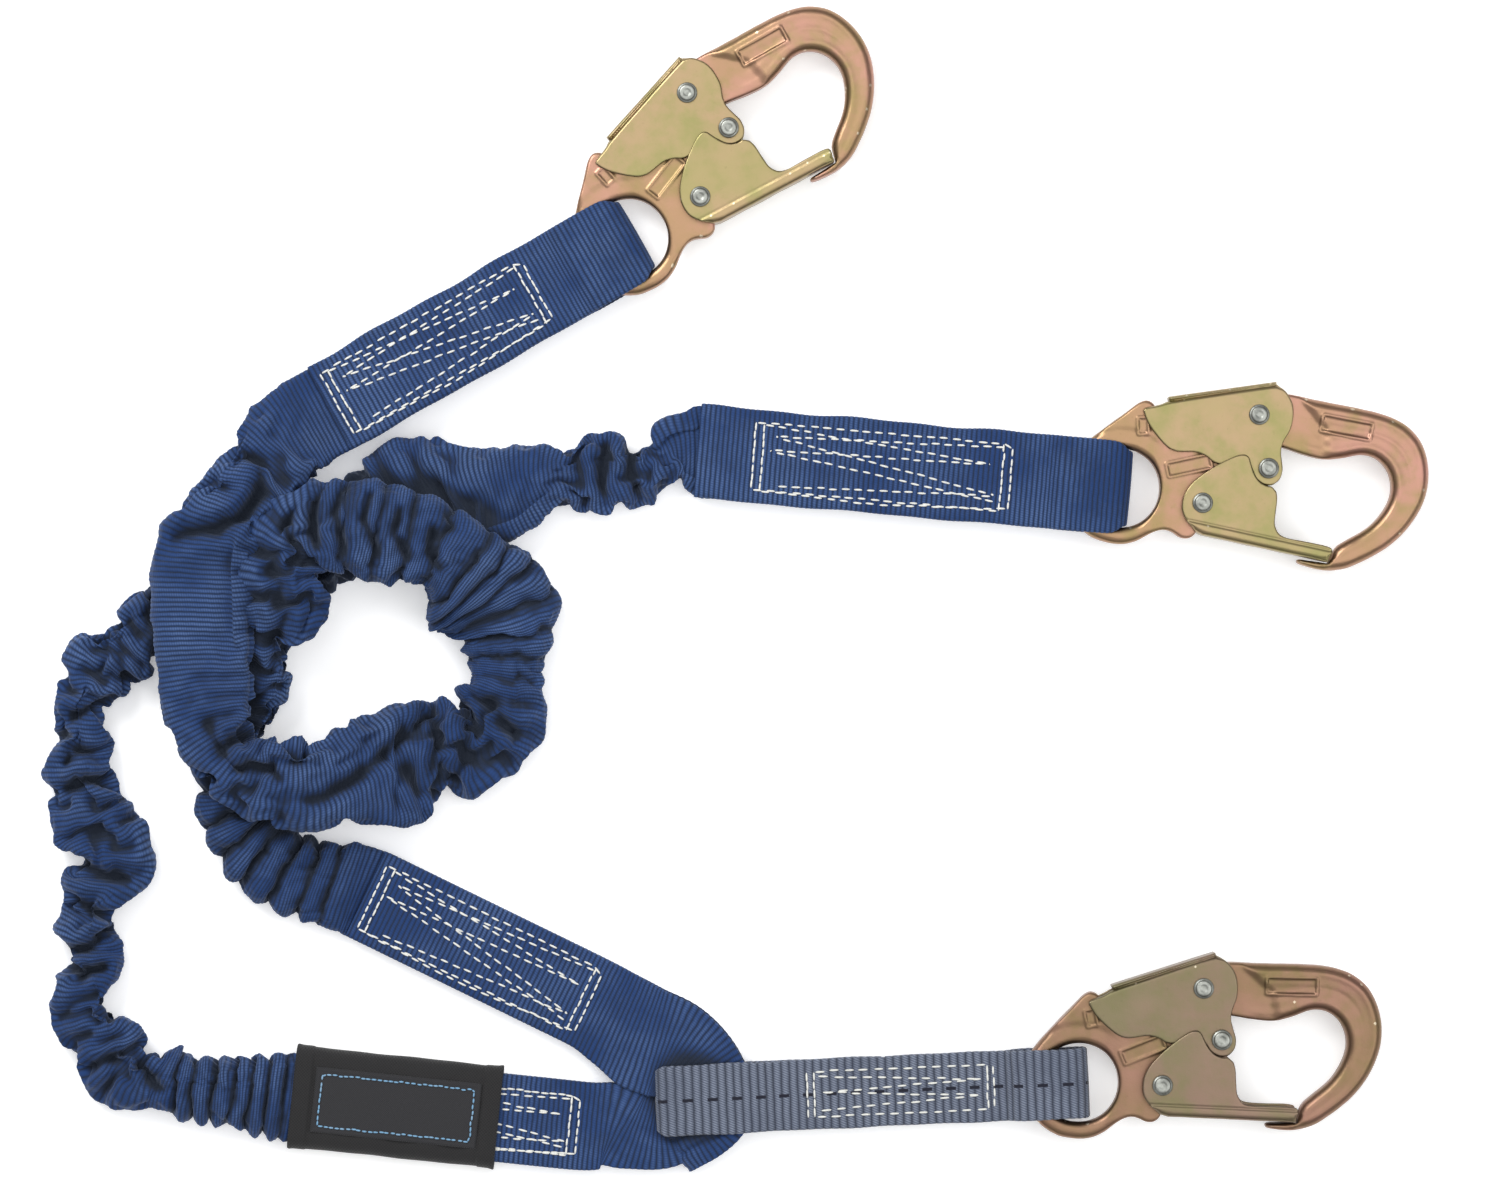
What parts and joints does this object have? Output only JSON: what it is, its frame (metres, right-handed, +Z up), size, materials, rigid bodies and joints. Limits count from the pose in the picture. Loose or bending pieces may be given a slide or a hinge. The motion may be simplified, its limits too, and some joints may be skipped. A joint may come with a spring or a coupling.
{
  "type": "shock absorbing lanyard",
  "caption": "Twin-leg shock absorbing lanyard laid flat: gathered tubular webbing legs linked to a short strap, with double-locking snap hooks at the ends.",
  "frame": {"origin": "middle of the footprint, on the surface the lanyard lies on", "axes": "+Z up off the surface; +X towards the snap hooks, along the strap; +Y from the strap's hook towards leg A's hook"},
  "size_m": [0.5306, 0.4504, 0.0336],
  "materials": {
    "leg_webbing": "royal blue tubular polyester webbing with fine crosswise ribs",
    "strap_webbing": "blue-grey flat webbing with a dark tracer line",
    "thread": "white bonded sewing thread",
    "forged_hook": "forged alloy steel, yellow zinc dichromate, pinkish gold",
    "plated_sheet": "pressed steel, yellow zinc dichromate, greenish gold",
    "rivet_steel": "bright zinc plated steel, dimpled heads",
    "spring_wire": "spring steel wire",
    "absorber_yarn": "partially oriented polyester yarn webbing",
    "elastic": "covered elastic",
    "label_fabric": "black woven sleeve with ribbed edges",
    "label_patch": "black blank woven panel"
  },
  "bodies": {
    "root": {"jacket_a": "leg_webbing", "absorber_core_a": "absorber_yarn", "elastic_core_a": "elastic", "lower_tab_a": "leg_webbing", "lower_tab_a_stitching": "thread", "link_loop_a": "leg_webbing", "jacket_b": "leg_webbing", "absorber_core_b": "absorber_yarn", "elastic_core_b": "elastic", "lower_tab_b": "leg_webbing", "lower_tab_b_stitching": "thread", "link_loop_b": "leg_webbing", "strap_link_loop": "strap_webbing"},
    "neck_a": {"neck_a": "leg_webbing"},
    "tab_a": {"hook_tab_a": "leg_webbing", "hook_tab_a_stitching": "thread"},
    "neck_b": {"neck_b": "leg_webbing"},
    "tab_b": {"hook_tab_b": "leg_webbing", "hook_tab_b_stitching": "thread"},
    "strap": {"strap_middle": "strap_webbing", "strap_stitching": "thread"},
    "label": {"label_sleeve": "label_fabric", "label_patch": "label_patch"},
    "hook_a": {"eye_loop_a": "leg_webbing", "hook_body_a": "forged_hook", "gate_rivet_a": "rivet_steel", "lock_rivet_a": "rivet_steel", "gate_spring_a": "spring_wire", "lock_spring_a": "spring_wire"},
    "gate_a": {"gate_a": "plated_sheet"},
    "lock_a": {"lock_lever_a": "plated_sheet", "catch_pin_a": "rivet_steel"},
    "hook_b": {"eye_loop_b": "leg_webbing", "hook_body_b": "forged_hook", "gate_rivet_b": "rivet_steel", "lock_rivet_b": "rivet_steel", "gate_spring_b": "spring_wire", "lock_spring_b": "spring_wire"},
    "gate_b": {"gate_b": "plated_sheet"},
    "lock_b": {"lock_lever_b": "plated_sheet", "catch_pin_b": "rivet_steel"},
    "hook_h": {"strap_eye_loop": "strap_webbing", "hook_body_h": "forged_hook", "gate_rivet_h": "rivet_steel", "lock_rivet_h": "rivet_steel", "gate_spring_h": "spring_wire", "lock_spring_h": "spring_wire"},
    "gate_h": {"gate_h": "plated_sheet"},
    "lock_h": {"lock_lever_h": "plated_sheet", "catch_pin_h": "rivet_steel"}
  },
  "joints": [
    {"name": "leg_a_stretch", "type": "slide", "parent": "root", "child": "neck_a", "axis": [0.8678, 0.4969, 0], "range_m": [0, 0.05]},
    {"name": "leg_a_flex", "type": "hinge", "parent": "neck_a", "child": "tab_a", "pos_m": [-0.15948, 0.06897, 0.0205], "axis": [0.4969, -0.8678, 0], "range_deg": [0, 60]},
    {"name": "hook_a_flex", "type": "hinge", "parent": "tab_a", "child": "hook_a", "pos_m": [-0.06879, 0.12083, 0.0138], "axis": [0.4961, -0.8683, 0], "range_deg": [0, 70]},
    {"name": "leg_b_stretch", "type": "slide", "parent": "root", "child": "neck_b", "axis": [0.9961, -0.0877, 0], "range_m": [0, 0.05]},
    {"name": "leg_b_flex", "type": "hinge", "parent": "neck_b", "child": "tab_b", "pos_m": [-0.02019, 0.05397, 0.013], "axis": [-0.0877, -0.9961, 0], "range_deg": [0, 60]},
    {"name": "hook_b_flex", "type": "hinge", "parent": "tab_b", "child": "hook_b", "pos_m": [0.11643, 0.04251, 0.0138], "axis": [-0.0872, -0.9962, 0], "range_deg": [0, 70]},
    {"name": "strap_flex", "type": "hinge", "parent": "root", "child": "strap", "pos_m": [0.01423, -0.19406, 0.01235], "axis": [0.0448, -0.999, 0], "range_deg": [0, 60]},
    {"name": "hook_h_flex", "type": "hinge", "parent": "strap", "child": "hook_h", "pos_m": [0.10234, -0.19011, 0.0124], "axis": [0.0448, -0.999, 0], "range_deg": [0, 70]},
    {"name": "gate_a_open", "type": "hinge", "parent": "hook_a", "child": "gate_a", "pos_m": [-0.01491, 0.15151, 0.0104], "axis": [0, 0, 1], "range_deg": [0, 24]},
    {"name": "lock_a_press", "type": "hinge", "parent": "hook_a", "child": "lock_a", "pos_m": [-0.01999, 0.19152, 0.0104], "axis": [0, 0, 1], "range_deg": [0, 20]},
    {"name": "gate_b_open", "type": "hinge", "parent": "hook_b", "child": "gate_b", "pos_m": [0.17778, 0.03408, 0.0104], "axis": [0, 0, 1], "range_deg": [0, 24]},
    {"name": "lock_b_press", "type": "hinge", "parent": "hook_b", "child": "lock_b", "pos_m": [0.19967, 0.06795, 0.0104], "axis": [0, 0, 1], "range_deg": [0, 20]},
    {"name": "gate_h_open", "type": "hinge", "parent": "hook_h", "child": "gate_h", "pos_m": [0.16241, -0.18935, 0.0104], "axis": [0, 0, 1], "range_deg": [0, 24]},
    {"name": "lock_h_press", "type": "hinge", "parent": "hook_h", "child": "lock_h", "pos_m": [0.17834, -0.1523, 0.0104], "axis": [0, 0, 1], "range_deg": [0, 20]},
    {"name": "label_slide", "type": "slide", "parent": "root", "child": "label", "axis": [0.9946, -0.1041, 0], "range_m": [0, 0.02]}
  ],
  "couplings": [
    {"joint": "lock_a_press", "follows": "gate_a_open", "ratio": 0.8333},
    {"joint": "lock_b_press", "follows": "gate_b_open", "ratio": 0.8333},
    {"joint": "lock_h_press", "follows": "gate_h_open", "ratio": 0.8333}
  ]
}
